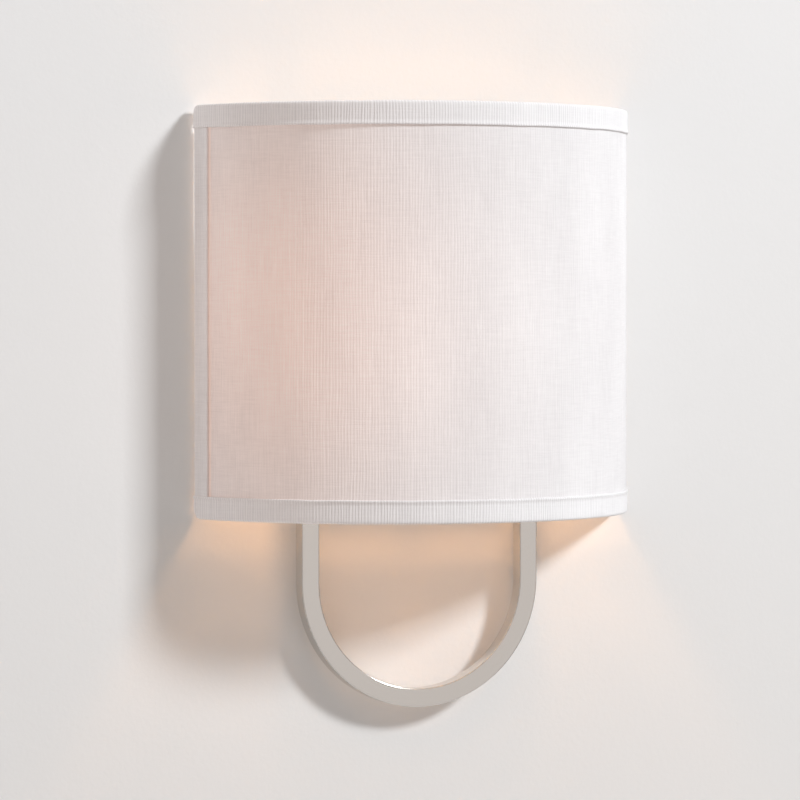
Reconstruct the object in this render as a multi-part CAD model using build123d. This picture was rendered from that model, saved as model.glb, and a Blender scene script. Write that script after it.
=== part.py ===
from build123d import *
import math
import os

# A wall light: a half-drum linen shade on a wire frame, hung on a square bar that is bent into
# a loop below it. The bar's legs are screwed to a pan on the wall, which carries two lamps.
# Millimetres. The origin is the centre of the wall face, +Z is up and the front faces -Y.

# Shade
shade_width = 254.0            # across the back edges, over the cloth
shade_height = 223.0
shade_projection = 101.6       # from the wall to the front of the cloth
shade_wall_gap = 4.0           # from the wall to the shade's back edges
cloth_thickness = 0.8
liner_thickness = 0.6
band_height = 12.7
band_return = 5.5              # how far a band turns down inside the shade
side_trim_width = 12.7
side_trim_return = 8.0
side_trim_rounding = 1.6
top_corner_radius = 3.6
bottom_corner_radius = 5.4

# Shade frame
frame_wire_diameter = 2.5
cross_wire_clearance = 1.25    # from a band's turned edge to the cross wire beside it
cross_wire_jog = 11.0          # from the uprights to the bends of the cross wires
cross_wire_bend_radius = 4.0
tab_width = 18.0
tab_thickness = 1.5
tab_margin = 3.2               # metal left round the keyhole
keyhole_drop = 15.5            # from the cross wire to the keyhole's slot end
shade_lift = 10.0              # from the slot end to the keyhole's round hole

# Loop bar
bar_size = 10.0
bar_edge_radius = 0.5
loop_width = 139.0
loop_drop = 105.2              # from the shade's bottom edge to the loop's underside
leg_end_margin = 8.0           # above the shade studs

# Wall plate and strap
plate_side_margin = 5.5        # from the loop's legs to the plate's sides
plate_inset = 9.0              # from the shade's top and bottom edges to the plate's
plate_depth = 15.0             # at its raised middle
plate_rim_depth = 5.5          # where the loop's legs sit
plate_leg_gap = 5.5            # from the raised middle to the legs beside it
plate_step_inset = 8.5         # from the plate's top and bottom edges to the raised middle
plate_wall = 1.5
plate_corner_radius = 8.0
plate_edge_radius = 2.0
strap_length = 115.0
strap_width = 20.0
strap_thickness = 2.0
strap_corner_radius = 5.0
slot_spacing = 88.9
slot_length = 12.0
slot_width = 4.6
plate_stud_spacing = 54.0
cap_nut_radius = 4.0
cap_nut_hex_height = 3.2
cap_nut_dome_radius = 3.2
cap_nut_dome_wall = 1.6

# Fasteners
stud_diameter = 4.0
leg_screw_inset = 32.5         # from the plate's top and bottom edges
leg_screw_length = 9.0
screw_head_radius = 3.8
screw_head_height = 2.2
screw_rim_radius = 0.7
recess_width = 0.8
recess_length = 3.8
recess_depth = 1.1
shade_stud_depth = 6.0
shade_stud_reach = 11.2        # in front of the loop's legs
thumb_nut_radius = 5.5
thumb_nut_height = 6.0
thumb_nut_collar_radius = 4.4
thumb_nut_collar_height = 1.5
thumb_nut_flutes = 18
flute_radius = 0.5
bracket_screw_diameter = 3.5
bracket_screw_spacing = 32.0
bracket_screw_length = 6.0
ground_screw_offset = 14.0
plate_ground_x = 24.0
plate_ground_z = -30.0

# Lamp bracket
lamp_spacing = 84.0
lamp_offset = 55.0             # from the wall to the lamps' axes
bracket_rise = 35.5            # from the shade's bottom edge to the shelf's underside
bracket_thickness = 2.0
bracket_stem_width = 40.0
bracket_arm_width = 21.0
bracket_end_margin = 14.0      # from a lamp's axis to the end of the arm
bracket_flange_height = 30.0
bracket_bend_radius = 1.5
bracket_corner_radius = 5.0

# Lamp sockets
housing_radius = 10.5
housing_height = 36.0
housing_floor = 12.0
housing_rim_radius = 0.9
nipple_radius = 4.8
nipple_bore_radius = 3.4
nipple_length = 12.0
nipple_grip = 4.8              # how far the nipple reaches into the housing
locknut_width = 14.0
locknut_height = 3.0
shell_thickness = 0.4
shell_height = 20.0
shell_inset = 1.0              # below the housing's rim
contact_radius = 5.0
contact_thickness = 0.8
contact_dimple_radius = 1.5

# Candle bulbs
bulb_base_radius = 6.0
bulb_base_height = 18.6
bulb_base_wall = 0.5
bulb_insulator_height = 2.0
bulb_tip_radius = 2.2
bulb_tip_height = 1.4
bulb_tip_chamfer = 0.6
bulb_base_hole_radius = 3.5    # in the cap's floor, filled by the insulator
bulb_neck_radius = 5.4
bulb_neck_depth = 8.0          # of the glass inside the base
bulb_radius = 17.5
bulb_glass_height = 76.0       # above the base
bulb_belly_height = 29.0       # of the widest place, above the base
bulb_point_radius = 1.2
bulb_glass_wall = 0.8
bulb_stem_radius = 2.0
bulb_stem_height = 26.0
filament_radius = 0.35
filament_width = 9.0
filament_height = 9.0
filament_foot = 3.0            # between the supports where they leave the stem

# Leads
lead_diameter = 2.2
lead_pitch = 2.8               # between two leads that run side by side
lead_slack = 4.6               # how far a white lead hangs below its nipple
black_lead_drop = 3.8          # of the black leads' loops, below the white ones
bushing_drop = 8.0             # from the shelf's underside to the bushing's centre
bushing_flange_radius = 6.5
bushing_flange = 1.5
bushing_wall = 1.6
wire_nut_length = 20.0
wire_nut_radius = 4.4
wire_nut_tip_radius = 2.8
wire_nut_bore_radius = 2.75
wire_nut_bore_depth = 12.0
wire_nut_rise = 25.0           # from the bushing's centre to the wire nuts' mouths
wire_nut_spread = 14.0
black_layer = -5.2             # depth of the black leads behind the plate
white_layer = -8.6

# Clearances
seat_gap = 0.3                 # between pieces that move apart
running_gap = 0.05             # round a piece that turns in another
hole_gap = 0.2                 # round a screw in a plain hole
wire_gap = 0.1                 # between the frame wire and the liner

# Levels and planes worked out from the sizes
shade_top = shade_height / 2
shade_bottom = -shade_height / 2
plate_front = -plate_depth
leg_seat = -plate_rim_depth
loop_front = leg_seat - bar_size
leg_x = (loop_width - bar_size) / 2
loop_centre_z = shade_bottom - loop_drop + loop_width / 2
plate_width = loop_width + 2 * plate_side_margin
plate_height = shade_height - 2 * plate_inset
raised_width = loop_width - 2 * bar_size - 2 * plate_leg_gap
raised_height = plate_height - 2 * plate_step_inset
leg_screw_levels = (leg_screw_inset - plate_height / 2, plate_height / 2 - leg_screw_inset)
frame_wire_radius = frame_wire_diameter / 2
stud_radius = stud_diameter / 2
lead_radius = lead_diameter / 2
lamp_y = -lamp_offset
bracket_level = shade_bottom + bracket_rise
shelf_top = bracket_level + bracket_thickness
bracket_screw_z = shelf_top + bracket_flange_height / 2
bushing_level = bracket_level - bushing_drop
wire_nut_level = bushing_level + wire_nut_rise
liner_stack = cloth_thickness + liner_thickness
channel_depth = liner_stack + wire_gap + frame_wire_diameter
edge_to_wire = cloth_thickness + frame_wire_radius
frame_bend_radius = max(top_corner_radius, bottom_corner_radius) - edge_to_wire
cross_wire_inset = band_return + cross_wire_clearance + frame_wire_radius
sides = {"left": -1, "right": 1}

# The shade's curve, and the frame wire inside it
sagitta = shade_projection - shade_wall_gap
shade_radius = ((shade_width / 2) ** 2 + sagitta**2) / (2 * sagitta)
axis_y = shade_radius - shade_projection
edge_angle = math.degrees(math.asin(shade_width / 2 / shade_radius))
wire_arc_radius = shade_radius - liner_stack - wire_gap - frame_wire_radius
bend_angle = math.degrees(math.atan(frame_bend_radius / wire_arc_radius))
upright_radius = math.hypot(wire_arc_radius, frame_bend_radius)
upright_angle = edge_angle - math.degrees(edge_to_wire / upright_radius)
arc_end_angle = upright_angle - bend_angle
upright_y = axis_y - upright_radius * math.cos(math.radians(upright_angle))
upright_x = upright_radius * math.sin(math.radians(upright_angle))
upright_low = shade_bottom + cloth_thickness + frame_wire_radius + frame_bend_radius
upright_high = shade_top - cloth_thickness - frame_wire_radius - frame_bend_radius
top_cross_z = shade_top - cross_wire_inset
bottom_cross_z = shade_bottom + cross_wire_inset
shade_stud_z = top_cross_z - keyhole_drop
leg_top = shade_stud_z + leg_end_margin
tab_back = loop_front - seat_gap
cross_wire_y = tab_back - frame_wire_radius
band_inner_radius = shade_radius - channel_depth - cloth_thickness
cloth_half_angle = edge_angle - math.degrees(cloth_thickness / shade_radius)


# Helpers

def box_between(low, high):
    size = [b - a for a, b in zip(low, high)]
    middle = [(a + b) / 2 for a, b in zip(low, high)]
    return Pos(*middle) * Box(*size)


def rod(start, end, radius):
    # a cylinder from one point to another
    start = Vector(*start)
    along = Vector(*end) - start
    plane = Plane(origin=start, z_dir=along.normalized())
    return extrude(plane * Circle(radius), along.length)


def cross_rod(x, z, start_y, end_y, radius):
    # a cylinder square to the wall
    return rod((x, start_y, z), (x, end_y, z), radius)


def tube(start, end, radius, bore):
    return rod(start, end, radius) - rod(start, end, bore)


def shade_point(radius, angle, level):
    # a point at an angle from the shade's front, positive to the right
    turn = math.radians(angle)
    return Vector(radius * math.sin(turn), axis_y - radius * math.cos(turn), level)


def arc_wall(inner, outer, low, high, start, end):
    # an upright wall that follows the shade's curve between two angles
    height = high - low
    on_axis = (Align.NONE, Align.NONE, Align.MIN)
    wall = Cylinder(outer, height, arc_size=end - start, align=on_axis)
    wall -= Cylinder(inner, height, arc_size=end - start, align=on_axis)
    return Pos(0, axis_y, low) * Rot(0, 0, start - 90) * wall


def corner_cutter(inner, outer, angle, level, inward, radius):
    # what to take off a curved wall's end at its top or bottom edge to leave a round corner
    turn = math.radians(angle)
    plane = Plane(origin=shade_point(inner, angle, level), x_dir=(math.cos(turn), math.sin(turn), 0),
                  z_dir=(math.sin(turn), -math.cos(turn), 0))
    down = inward * plane.y_dir.Z
    square = Pos(-radius / 2 + 0.5, down * (radius / 2 - 0.5)) * Rectangle(radius + 1, radius + 1)
    profile = square - Pos(-radius, down * radius) * Circle(radius)
    profile = profile & Pos(-radius / 2 + 0.5, down * (radius / 2 - 0.5)) * Rectangle(radius + 1, radius + 1)
    return extrude(plane * profile, outer - inner)


def round_end_corners(wall, inner, outer, angle, level, inward, radius):
    # rounds both ends of a curved wall at its top or bottom edge
    cutter = corner_cutter(inner - 1, outer + 1, angle, level, inward, radius)
    return wall - cutter - mirror(cutter, about=Plane.YZ)


def save(name, shape):
    shape.label = name
    export_step(shape, "parts/" + name + ".step")


os.makedirs("parts", exist_ok=True)


# Shade cloth, liner, bands and trims

def sheet(inner, outer):
    low = shade_bottom + cloth_thickness
    high = shade_top - cloth_thickness
    wall = arc_wall(inner, outer, low, high, -cloth_half_angle, cloth_half_angle)
    wall = round_end_corners(wall, inner, outer, cloth_half_angle, high, -1,
                             top_corner_radius - cloth_thickness)
    return round_end_corners(wall, inner, outer, cloth_half_angle, low, 1,
                             bottom_corner_radius - cloth_thickness)


def band(edge, inward, corner_radius):
    # a strip of cloth folded over the edge: inward is -1 at the top edge and 1 at the bottom edge
    seam = edge + inward * band_height
    crease = edge + inward * cloth_thickness
    past_seam = seam + inward
    outer = shade_radius + cloth_thickness
    channel = shade_radius - channel_depth
    outside = arc_wall(band_inner_radius, outer, min(edge, seam), max(edge, seam), -edge_angle, edge_angle)
    outside = round_end_corners(outside, band_inner_radius, outer, edge_angle, edge, inward, corner_radius)
    inside = arc_wall(channel, shade_radius, min(crease, past_seam), max(crease, past_seam),
                      -cloth_half_angle, cloth_half_angle)
    inside = round_end_corners(inside, channel, shade_radius, cloth_half_angle, crease, inward,
                               corner_radius - cloth_thickness)
    turned = edge + inward * band_return
    open_back = arc_wall(band_inner_radius - 1, channel + frame_wire_radius, min(turned, past_seam),
                         max(turned, past_seam), -cloth_half_angle, cloth_half_angle)
    return outside - inside - open_back


def on_end_plane(point):
    turn = math.radians(edge_angle)
    return abs(point.X * math.cos(turn) + (point.Y - axis_y) * math.sin(turn)) < 0.01


def side_trim():
    # the right trim: a strip folded round the back edge between the two bands
    low = shade_bottom + band_height
    high = shade_top - band_height
    start = edge_angle - math.degrees(side_trim_width / shade_radius)
    turned = edge_angle - math.degrees(side_trim_return / shade_radius)
    outside = arc_wall(band_inner_radius, shade_radius + cloth_thickness, low, high, start, edge_angle)
    end_faces = outside.faces().filter_by(lambda face: on_end_plane(face.center()))
    outside = fillet(end_faces.edges().filter_by(Axis.Z), side_trim_rounding)
    inside = arc_wall(shade_radius - channel_depth, shade_radius, low - 1, high + 1, start - 1,
                      cloth_half_angle)
    open_back = arc_wall(band_inner_radius - 1, shade_radius - channel_depth / 2, low - 1, high + 1,
                         start - 1, turned)
    return outside - inside - open_back


linen_cover = sheet(shade_radius - cloth_thickness, shade_radius)
shade_liner = sheet(shade_radius - liner_stack, shade_radius - cloth_thickness)
top_band = band(shade_top, -1, top_corner_radius)
bottom_band = band(shade_bottom, 1, bottom_corner_radius)
right_trim = side_trim()
left_trim = mirror(right_trim, about=Plane.YZ)
save("linen_cover", linen_cover)
save("shade_liner", shade_liner)
save("top_band", top_band)
save("bottom_band", bottom_band)
save("side_trim_right", right_trim)
save("side_trim_left", left_trim)


# Shade frame

def frame_arc(level, inward):
    # the wire along one edge of the shade, with both ends bent towards the uprights
    turn = math.radians(arc_end_angle)
    outward = Vector(math.cos(turn), math.sin(turn), 0)
    down = Vector(0, 0, inward)
    end = shade_point(wire_arc_radius, arc_end_angle, level)
    centre = end + down * frame_bend_radius
    bend_middle = centre + (outward - down) * (frame_bend_radius * math.sqrt(0.5))
    right_points = [end, bend_middle, centre + outward * frame_bend_radius]
    left_points = [Vector(-p.X, p.Y, p.Z) for p in reversed(right_points)]
    path = Wire([
        Edge.make_three_point_arc(*left_points),
        Edge.make_three_point_arc(left_points[-1], shade_point(wire_arc_radius, 0, level), end),
        Edge.make_three_point_arc(*right_points),
    ])
    start = Plane(origin=left_points[0], z_dir=down * -1)
    return sweep(start * Circle(frame_wire_radius), path=path)


def cross_wire(level):
    # a wire across the open back in front of the loop's legs, with both ends bent back and coped
    # to the uprights
    bend_x = upright_x - cross_wire_jog
    path = FilletPolyline((-upright_x, upright_y, level), (-bend_x, cross_wire_y, level),
                          (bend_x, cross_wire_y, level), (upright_x, upright_y, level),
                          radius=cross_wire_bend_radius)
    start = Plane(origin=path @ 0, z_dir=path % 0)
    wire = sweep(start * Circle(frame_wire_radius), path=path)
    for side in sides.values():
        wire -= rod((side * upright_x, upright_y, level - cross_wire_inset),
                    (side * upright_x, upright_y, level + cross_wire_inset), frame_wire_radius)
    return wire


def keyhole_tab(x):
    # a plate under the top cross wire, with a slot over a round hole that passes the thumb nut
    entry_radius = thumb_nut_radius + seat_gap
    slot_radius = stud_radius + seat_gap
    entry_z = shade_stud_z - shade_lift
    low = entry_z - entry_radius - tab_margin
    tab = box_between((x - tab_width / 2, tab_back - tab_thickness, low),
                      (x + tab_width / 2, tab_back, top_cross_z))
    front = tab_back - tab_thickness - 1
    behind = tab_back + 1
    tab -= cross_rod(x, entry_z, front, behind, entry_radius)
    tab -= cross_rod(x, shade_stud_z, front, behind, slot_radius)
    return tab - box_between((x - slot_radius, front, entry_z), (x + slot_radius, behind, shade_stud_z))


top_arc_z = shade_top - cloth_thickness - frame_wire_radius
bottom_arc_z = shade_bottom + cloth_thickness + frame_wire_radius
save("frame_top_arc", frame_arc(top_arc_z, -1))
save("frame_bottom_arc", frame_arc(bottom_arc_z, 1))
for side_name, side in sides.items():
    save("frame_upright_" + side_name,
         rod((side * upright_x, upright_y, upright_low), (side * upright_x, upright_y, upright_high),
             frame_wire_radius))
save("frame_hanger", cross_wire(top_cross_z) + keyhole_tab(-leg_x) + keyhole_tab(leg_x))
save("frame_bottom_crosswire", cross_wire(bottom_cross_z))


# Loop bar: two legs on the plate and a half circle below the shade

def loop_outline(inset):
    half = loop_width / 2 - inset
    legs = box_between((-half, loop_front, loop_centre_z), (half, leg_seat, leg_top))
    return legs + rod((0, loop_front, loop_centre_z), (0, leg_seat, loop_centre_z), half)


def loop_bar():
    bar = loop_outline(0) - loop_outline(bar_size)
    long_edges = [edge for edge in bar.edges() if edge.center().Z < leg_top - 0.01]
    bar = fillet(long_edges, bar_edge_radius)
    for side in sides.values():
        x = side * leg_x
        bar -= cross_rod(x, shade_stud_z, loop_front - 1, loop_front + shade_stud_depth, stud_radius)
        for z in leg_screw_levels:
            bar -= cross_rod(x, z, leg_seat + 1, leg_seat + plate_wall - leg_screw_length, stud_radius)
    return bar


save("loop_bar", loop_bar())

# Wall plate: a pan that is open towards the wall, with a raised middle between the loop's legs

def pan(width, height, depth, front, corner_radius, edge_radius):
    block = box_between((-width / 2, front, -height / 2), (width / 2, front + depth, height / 2))
    block = fillet(block.edges().filter_by(Axis.Y), corner_radius)
    return fillet(block.faces().sort_by(Axis.Y)[0].edges(), edge_radius)


def pierce(plate, x, z, radius, front=plate_front):
    return plate - cross_rod(x, z, front - 1, front + plate_wall + 1, radius)


wall_plate = pan(plate_width, plate_height, plate_rim_depth, leg_seat, plate_corner_radius,
                 plate_edge_radius)
wall_plate += pan(raised_width, raised_height, plate_depth, plate_front, plate_corner_radius,
                  plate_edge_radius)
inner_edge_radius = max(plate_edge_radius - plate_wall, 0.2)
inner_corner_radius = plate_corner_radius - plate_wall
wall_plate -= pan(plate_width - 2 * plate_wall, plate_height - 2 * plate_wall, plate_rim_depth,
                  leg_seat + plate_wall, inner_corner_radius, inner_edge_radius)
wall_plate -= pan(raised_width - 2 * plate_wall, raised_height - 2 * plate_wall, plate_depth,
                  plate_front + plate_wall, inner_corner_radius, inner_edge_radius)
for side in sides.values():
    wall_plate = pierce(wall_plate, side * plate_stud_spacing / 2, 0, stud_radius + hole_gap)
    wall_plate = pierce(wall_plate, side * bracket_screw_spacing / 2, bracket_screw_z,
                        bracket_screw_diameter / 2)
    for z in leg_screw_levels:
        wall_plate = pierce(wall_plate, side * leg_x, z, stud_radius + hole_gap, leg_seat)
bushing_radius = nipple_bore_radius + bushing_wall
wall_plate = pierce(wall_plate, 0, bushing_level, bushing_radius)
wall_plate = pierce(wall_plate, plate_ground_x, plate_ground_z, stud_radius)
save("wall_plate", wall_plate)

# Mounting strap, flat on the wall, with slots for the outlet box
strap = box_between((-strap_length / 2, -strap_thickness, -strap_width / 2),
                    (strap_length / 2, 0, strap_width / 2))
strap = fillet(strap.edges().filter_by(Axis.Y), strap_corner_radius)
for side in sides.values():
    middle = side * slot_spacing / 2
    straight = (slot_length - slot_width) / 2
    strap -= box_between((middle - straight, -strap_thickness - 1, -slot_width / 2),
                         (middle + straight, 1, slot_width / 2))
    for x in (middle - straight, middle + straight):
        strap -= cross_rod(x, 0, -strap_thickness - 1, 1, slot_width / 2)
    strap -= cross_rod(side * plate_stud_spacing / 2, 0, -strap_thickness - 1, 1, stud_radius)
strap -= cross_rod(ground_screw_offset, 0, -strap_thickness - 1, 1, stud_radius)
save("mounting_strap", strap)


# Fasteners

def pan_head(x, z, seat, facing):
    # a screw head with rounded rim and a cross recess, standing on a plane square to Y
    top = seat + facing * screw_head_height
    head = cross_rod(x, z, seat, top, screw_head_radius)
    rim = [edge for edge in head.edges() if abs(edge.center().Y - top) < 0.01]
    head = fillet(rim, screw_rim_radius)
    near, far = sorted((top - facing * recess_depth, top + facing))
    for wide, high in ((recess_length, recess_width), (recess_width, recess_length)):
        head -= box_between((x - wide / 2, near, z - high / 2), (x + wide / 2, far, z + high / 2))
    return head


def group(shapes):
    return Compound(children=list(shapes))


def loop_screw(x, z):
    seat = leg_seat + plate_wall
    return pan_head(x, z, seat, 1) + cross_rod(x, z, seat, seat - leg_screw_length, stud_radius)


def bracket_screw(x):
    seat = plate_front - bracket_thickness
    shank = cross_rod(x, bracket_screw_z, seat, seat + bracket_screw_length, bracket_screw_diameter / 2)
    return pan_head(x, bracket_screw_z, seat, -1) + shank


def cap_nut(x):
    # a hexagon with a dome over it
    plane = Plane(origin=(x, plate_front, 0), z_dir=(0, -1, 0))
    nut = extrude(plane * RegularPolygon(cap_nut_radius, 6), cap_nut_hex_height)
    nut += cross_rod(x, 0, plate_front - cap_nut_hex_height, dome_centre_y, cap_nut_dome_radius)
    dome = Pos(x, dome_centre_y, 0) * Sphere(cap_nut_dome_radius)
    nut += dome & box_between((x - cap_nut_radius, dome_centre_y - cap_nut_radius, -cap_nut_radius),
                              (x + cap_nut_radius, dome_centre_y, cap_nut_radius))
    return nut - cross_rod(x, 0, plate_front + 1, cap_nut_floor, stud_radius)


dome_centre_y = plate_front - cap_nut_hex_height - cap_nut_dome_wall
cap_nut_floor = dome_centre_y - cap_nut_dome_wall / 2
plate_stud_xs = [side * plate_stud_spacing / 2 for side in sides.values()]
save("plate_studs", group(cross_rod(x, 0, 0, cap_nut_floor, stud_radius) for x in plate_stud_xs))
save("plate_cap_nuts", group(cap_nut(x) for x in plate_stud_xs))
save("loop_screws", group(loop_screw(side * leg_x, z) for side in sides.values()
                          for z in leg_screw_levels))
save("bracket_screws", group(bracket_screw(side * bracket_screw_spacing / 2) for side in sides.values()))
shade_stud_end = loop_front - shade_stud_reach
save("shade_studs", group(cross_rod(side * leg_x, shade_stud_z, loop_front + shade_stud_depth,
                                    shade_stud_end, stud_radius) for side in sides.values()))


def thumb_nut(x):
    # a fluted nut with a plain collar towards the tab
    back = tab_back - tab_thickness - seat_gap
    front = back - thumb_nut_height
    collar = back - thumb_nut_collar_height
    nut = cross_rod(x, shade_stud_z, collar, front, thumb_nut_radius)
    for n in range(thumb_nut_flutes):
        turn = 2 * math.pi * n / thumb_nut_flutes
        flute_x = x + thumb_nut_radius * math.cos(turn)
        flute_z = shade_stud_z + thumb_nut_radius * math.sin(turn)
        nut -= cross_rod(flute_x, flute_z, back, front - 1, flute_radius)
    nut += cross_rod(x, shade_stud_z, back, collar, thumb_nut_collar_radius)
    return nut - cross_rod(x, shade_stud_z, back + 1, front - 1, stud_radius + running_gap)


for side_name, side in sides.items():
    save("thumb_nut_" + side_name, thumb_nut(side * leg_x))

# Ground screws: one in the strap and one in the plate, each standing off by one lead
strap_screw_seat = -strap_thickness - lead_diameter
plate_screw_seat = plate_front + plate_wall + lead_diameter
strap_ground_screw = pan_head(ground_screw_offset, 0, strap_screw_seat, -1)
strap_ground_screw += cross_rod(ground_screw_offset, 0, 0, strap_screw_seat, stud_radius)
plate_ground_screw = pan_head(plate_ground_x, plate_ground_z, plate_screw_seat, 1)
plate_ground_screw += cross_rod(plate_ground_x, plate_ground_z, plate_front, plate_screw_seat, stud_radius)
save("ground_screws", group([strap_ground_screw, plate_ground_screw]))

# Lamp bracket: a flange on the plate, a stem and an arm for the two lamps
flange_front = plate_front - bracket_thickness
arm_end_x = lamp_spacing / 2 + bracket_end_margin
stem_x = bracket_stem_width / 2
flange = box_between((-stem_x, flange_front, bracket_level),
                     (stem_x, plate_front, shelf_top + bracket_flange_height))
stem = box_between((-stem_x, lamp_y, bracket_level), (stem_x, plate_front, shelf_top))
arm = box_between((-arm_end_x, lamp_y - bracket_arm_width / 2, bracket_level),
                  (arm_end_x, lamp_y + bracket_arm_width / 2, shelf_top))
lamp_bracket = fillet(arm.edges().filter_by(Axis.Z), bracket_corner_radius) + stem + flange
inner_bend = [edge for edge in lamp_bracket.edges().filter_by(Axis.X)
              if abs(edge.center().Y - flange_front) < 0.01 and abs(edge.center().Z - shelf_top) < 0.01]
lamp_bracket = fillet(inner_bend, bracket_bend_radius)
for side in sides.values():
    x = side * lamp_spacing / 2
    lamp_bracket -= rod((x, lamp_y, bracket_level - 1), (x, lamp_y, shelf_top + 1), nipple_radius)
    x = side * bracket_screw_spacing / 2
    lamp_bracket -= cross_rod(x, bracket_screw_z, flange_front - 1, plate_front + 1,
                              bracket_screw_diameter / 2)
save("lamp_bracket", lamp_bracket)

# Sockets. The nipple's top is flush inside the housing and the lock nut clamps the shelf.
housing_top = shelf_top + housing_height
floor_top = shelf_top + housing_floor
nipple_top = shelf_top + nipple_grip
nipple_bottom = nipple_top - nipple_length
shell_radius = bulb_base_radius + running_gap + shell_thickness
shell_high = housing_top - shell_inset
shell_low = shell_high - shell_height
lamp_xs = {name: side * lamp_spacing / 2 for name, side in sides.items()}


def upright_rod(x, low, high, radius):
    return rod((x, lamp_y, low), (x, lamp_y, high), radius)


def housing(x):
    body = upright_rod(x, shelf_top, housing_top, housing_radius)
    rim = [edge for edge in body.edges() if abs(edge.center().Z - housing_top) < 0.01]
    body = fillet(rim, housing_rim_radius)
    body -= upright_rod(x, floor_top, housing_top + 1, shell_radius)
    body -= upright_rod(x, shelf_top, floor_top + 1, nipple_bore_radius)
    return body - upright_rod(x, shelf_top - 1, nipple_top, nipple_radius)


def locknut(x):
    plane = Plane(origin=(x, lamp_y, bracket_level), z_dir=(0, 0, -1))
    hexagon = extrude(plane * RegularPolygon(locknut_width / 2, 6, major_radius=False), locknut_height)
    return hexagon - upright_rod(x, bracket_level - locknut_height - 1, bracket_level + 1, nipple_radius)


for side_name, x in lamp_xs.items():
    save("socket_" + side_name + "_housing", housing(x))
    save("socket_" + side_name + "_shell",
         upright_rod(x, shell_low, shell_high, shell_radius)
         - upright_rod(x, shell_low - 1, shell_high + 1, shell_radius - shell_thickness))
    leaf = upright_rod(x, floor_top, floor_top + contact_thickness, contact_radius)
    save("socket_" + side_name + "_contact",
         leaf + upright_rod(x, floor_top, floor_top + 2 * contact_thickness, contact_dimple_radius))
save("socket_nipples", group(tube((x, lamp_y, nipple_bottom), (x, lamp_y, nipple_top), nipple_radius,
                                  nipple_bore_radius) for x in lamp_xs.values()))
save("socket_locknuts", group(locknut(x) for x in lamp_xs.values()))

# Candle bulbs, from the tip contact upwards
tip_low = floor_top + 2 * contact_thickness + seat_gap
insulator_low = tip_low + bulb_tip_height
base_low = insulator_low + bulb_insulator_height
base_high = base_low + bulb_base_height
neck_low = base_high - bulb_neck_depth
glass_top = base_high + bulb_glass_height
stem_low = neck_low + bulb_glass_wall
stem_top = stem_low + bulb_stem_height


def turned(x, outline):
    # turns a closed outline in the lamp's XZ plane about its axis
    return Pos(x, lamp_y, 0) * revolve(make_face(outline), Axis.Z)


def polygon(points):
    return Polyline([(px, 0, pz) for px, pz in points], close=True)


def glass_body(shrink):
    # a candle shape: a plain neck, a wide belly and a drawn tip
    neck = bulb_neck_radius - shrink
    low = neck_low + shrink
    top = glass_top - 1.5 * shrink
    belly = bulb_radius - shrink
    belly_z = base_high + bulb_belly_height
    point_z = top - bulb_point_radius / 2
    lower = Spline([(neck, 0, base_high), (belly, 0, belly_z)], tangents=[(0.6, 0, 1), (0, 0, 1)])
    upper = Spline([(belly, 0, belly_z), (bulb_point_radius, 0, point_z)],
                   tangents=[(0, 0, 1), (-0.5, 0, 1)])
    cap = Line((bulb_point_radius, 0, point_z), (0, 0, top))
    axis_line = Line((0, 0, top), (0, 0, low))
    floor = Line((0, 0, low), (neck, 0, low))
    wall = Line((neck, 0, low), (neck, 0, base_high))
    return revolve(make_face(lower + upper + cap + axis_line + floor + wall), Axis.Z)


def bulb_base(x):
    # a thin cap with a hole in its floor
    outer = bulb_base_radius
    inner = outer - bulb_base_wall
    floor = base_low + bulb_base_wall
    return turned(x, polygon([(bulb_base_hole_radius, base_low), (outer, base_low), (outer, base_high),
                              (inner, base_high), (inner, floor), (bulb_base_hole_radius, floor)]))


def filament(x):
    # two straight supports and the lit wire across them
    low = stem_top
    high = stem_top + filament_height
    half = filament_width / 2
    foot = filament_foot / 2
    wires = rod((x - foot, lamp_y, low), (x - half, lamp_y, high), filament_radius)
    wires += rod((x + foot, lamp_y, low), (x + half, lamp_y, high), filament_radius)
    wires += rod((x - half, lamp_y, high), (x + half, lamp_y, high), filament_radius)
    for end in (x - half, x + half):
        wires += Pos(end, lamp_y, high) * Sphere(filament_radius)
    return wires - upright_rod(x, stem_low, stem_top, bulb_stem_radius)


glass = glass_body(0) - glass_body(bulb_glass_wall)
for side_name, x in lamp_xs.items():
    name = "bulb_" + side_name
    save(name + "_glass", Pos(x, lamp_y, 0) * glass)
    save(name + "_base", bulb_base(x))
    save(name + "_insulator",
         turned(x, polygon([(0, insulator_low), (bulb_tip_radius, insulator_low),
                            (bulb_base_radius - bulb_base_wall, base_low), (0, base_low)])))
    tip = turned(x, polygon([(0, tip_low), (bulb_tip_radius - bulb_tip_chamfer, tip_low),
                             (bulb_tip_radius, tip_low + bulb_tip_chamfer),
                             (bulb_tip_radius, insulator_low), (0, insulator_low)]))
    save(name + "_tip", tip)
    stem = turned(x, polygon([(0, stem_low), (bulb_neck_radius - bulb_glass_wall, stem_low),
                              (bulb_stem_radius, stem_low + 2 * bulb_stem_radius),
                              (bulb_stem_radius, stem_top), (0, stem_top)]))
    save(name + "_stem", stem)
    save(name + "_filament", filament(x))

# Bushing in the plate, round the four leads
bushing_inside = plate_front + plate_wall + bushing_flange
bushing = cross_rod(0, bushing_level, plate_front - bushing_flange, plate_front, bushing_flange_radius)
bushing += cross_rod(0, bushing_level, plate_front, bushing_inside, bushing_radius)
bushing -= cross_rod(0, bushing_level, plate_front - bushing_flange - 1, bushing_inside + 1,
                     nipple_bore_radius)
save("wire_bushing", bushing)

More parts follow.
